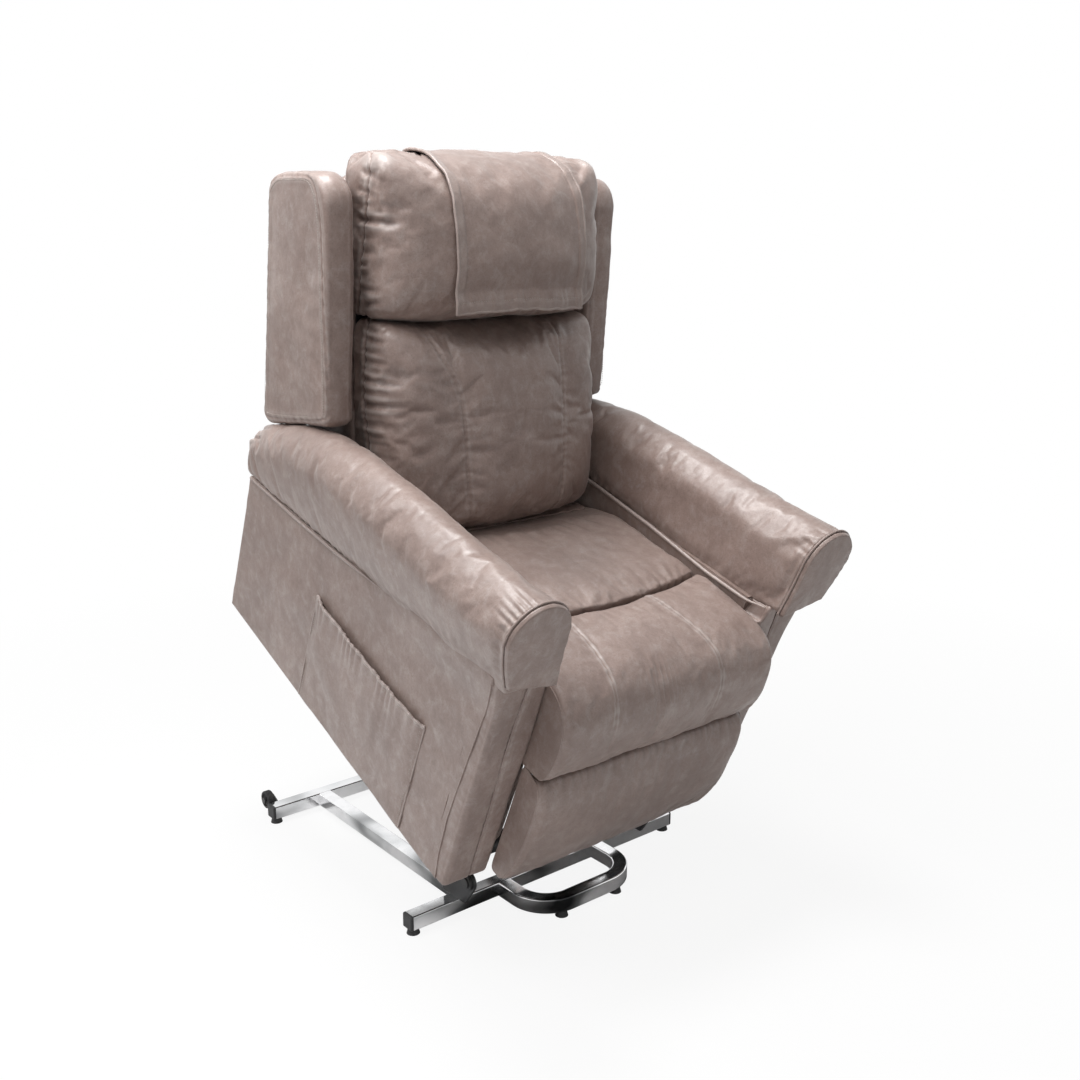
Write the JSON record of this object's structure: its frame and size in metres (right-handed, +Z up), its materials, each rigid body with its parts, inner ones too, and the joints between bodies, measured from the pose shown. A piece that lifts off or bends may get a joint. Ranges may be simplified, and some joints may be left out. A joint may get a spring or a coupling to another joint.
{
  "type": "lift recliner chair",
  "caption": "Upholstered winged recliner on a lifting floor base, shown raised and tipped forward, with reclining back, legrest and side pocket.",
  "frame": {"origin": "on the floor under the middle of the chair's bounding box, chair raised as in the picture", "axes": "X across the chair with the sitter's left at +X, front towards -Y, +Z up"},
  "size_m": [0.8002, 1.0676, 1.4336],
  "materials": {
    "cover": "matte",
    "bright_tube": "polished",
    "black_plastic": "matte",
    "wheel_rubber": "matte",
    "dark_steel": "satin",
    "bright_rod": "satin",
    "webbing": "matte",
    "board": "matte"
  },
  "bodies": {
    "base": {"front_bar": "bright_tube", "rear_bar": "bright_tube", "side_rails": "bright_tube", "front_loop": "bright_tube", "end_caps": "black_plastic", "glides": "black_plastic", "lift_bracket_left": "dark_steel", "lift_bracket_right": "dark_steel", "base_motor_lugs": "dark_steel", "wheel_ears": "dark_steel"},
    "wheel_left": {"wheel_left": "wheel_rubber"},
    "wheel_right": {"wheel_right": "wheel_rubber"},
    "lift_arms": {"lift_arms": "dark_steel"},
    "front_link_left": {"front_link_left": "dark_steel"},
    "front_link_right": {"front_link_right": "dark_steel"},
    "lift_motor": {"lift_motor": "black_plastic"},
    "lift_rod": {"lift_rod": "bright_rod"},
    "chair": {"side_plate_left": "dark_steel", "side_plate_right": "dark_steel", "rear_pivot_tube": "dark_steel", "back_motor_tube": "dark_steel", "leg_motor_tube": "dark_steel", "front_seat_rail": "dark_steel", "rear_seat_rail": "dark_steel", "seat_webbing": "webbing", "arm_panel_left": "cover", "arm_panel_right": "cover", "front_post_left": "cover", "front_post_right": "cover", "arm_pad_left": "cover", "arm_pad_right": "cover", "arm_facing_left": "cover", "arm_facing_right": "cover", "side_pocket": "cover", "seat_cushion": "cover", "knee_pad": "cover", "control_box": "black_plastic", "rear_skirt": "cover"},
    "back_motor": {"back_motor": "black_plastic"},
    "back_rod": {"back_rod": "bright_rod"},
    "backrest": {"back_frame": "dark_steel", "back_webbing": "webbing", "back_shell": "cover", "lumbar_cushion": "cover", "head_cushion": "cover", "head_cover": "cover", "wing_left": "cover", "wing_right": "cover"},
    "leg_motor": {"leg_motor": "black_plastic"},
    "leg_rod": {"leg_rod": "bright_rod"},
    "legrest": {"legrest_frame": "dark_steel", "legrest_board": "board", "calf_pad": "cover", "lower_pad": "cover"}
  },
  "joints": [
    {"name": "wheel_left_spin", "type": "hinge", "parent": "base", "child": "wheel_left", "pos_m": [-0.317, 0.49775, 0.04], "axis": [1, 0, 0], "continuous": true},
    {"name": "wheel_right_spin", "type": "hinge", "parent": "base", "child": "wheel_right", "pos_m": [0.317, 0.49775, 0.04], "axis": [1, 0, 0], "continuous": true},
    {"name": "lift", "type": "hinge", "parent": "base", "child": "lift_arms", "pos_m": [0, -0.10425, 0.12], "axis": [-1, 0, 0], "range_deg": [0, 41.35]},
    {"name": "chair_tilt", "type": "hinge", "parent": "lift_arms", "child": "chair", "pos_m": [0, 0.2548, 0.49598], "axis": [1, 0, 0], "range_deg": [0, 18.16]},
    {"name": "front_link_left_swing", "type": "hinge", "parent": "base", "child": "front_link_left", "pos_m": [0, -0.15825, 0.094], "axis": [-1, 0, 0], "range_deg": [0, 48.39]},
    {"name": "front_link_right_swing", "type": "hinge", "parent": "base", "child": "front_link_right", "pos_m": [0, -0.15825, 0.094], "axis": [-1, 0, 0], "range_deg": [0, 48.39]},
    {"name": "lift_motor_tilt", "type": "hinge", "parent": "base", "child": "lift_motor", "pos_m": [0, 0.38175, 0.068], "axis": [1, 0, 0], "range_deg": [0, 2.11]},
    {"name": "lift_rod_stroke", "type": "slide", "parent": "lift_motor", "child": "lift_rod", "axis": [0, 0.9546, -0.298], "range_m": [0, 0.06578]},
    {"name": "recline", "type": "hinge", "parent": "chair", "child": "backrest", "pos_m": [0, 0.22591, 0.69793], "axis": [-1, 0, 0], "range_deg": [0, 42]},
    {"name": "back_motor_tilt", "type": "hinge", "parent": "chair", "child": "back_motor", "pos_m": [0, -0.11719, 0.47037], "axis": [-1, 0, 0], "range_deg": [0, 2.37]},
    {"name": "back_rod_stroke", "type": "slide", "parent": "back_motor", "child": "back_rod", "axis": [0, -0.8877, -0.4604], "range_m": [0, 0.04006]},
    {"name": "legrest_lift", "type": "hinge", "parent": "chair", "child": "legrest", "pos_m": [0, -0.40632, 0.49768], "axis": [-1, 0, 0], "range_deg": [0, 85]},
    {"name": "leg_motor_tilt", "type": "hinge", "parent": "chair", "child": "leg_motor", "pos_m": [0, 0.09658, 0.54023], "axis": [1, 0, 0], "range_deg": [0, 2.77]},
    {"name": "leg_rod_stroke", "type": "slide", "parent": "leg_motor", "child": "leg_rod", "axis": [0, -0.989, -0.1479], "range_m": [0, 0.08333]}
  ],
  "couplings": [
    {"joint": "chair_tilt", "follows": "lift", "ratio": 0.439},
    {"joint": "front_link_left_swing", "follows": "lift", "ratio": 1.1698},
    {"joint": "front_link_right_swing", "follows": "lift", "ratio": 1.1698},
    {"joint": "lift_motor_tilt", "follows": "lift", "ratio": 0.050875},
    {"joint": "lift_rod_stroke", "follows": "lift", "m_per_rad": 0.090999},
    {"joint": "back_motor_tilt", "follows": "recline", "ratio": 0.056137},
    {"joint": "back_rod_stroke", "follows": "recline", "m_per_rad": 0.054513},
    {"joint": "leg_motor_tilt", "follows": "legrest_lift", "ratio": 0.032425},
    {"joint": "leg_rod_stroke", "follows": "legrest_lift", "m_per_rad": 0.0561}
  ]
}
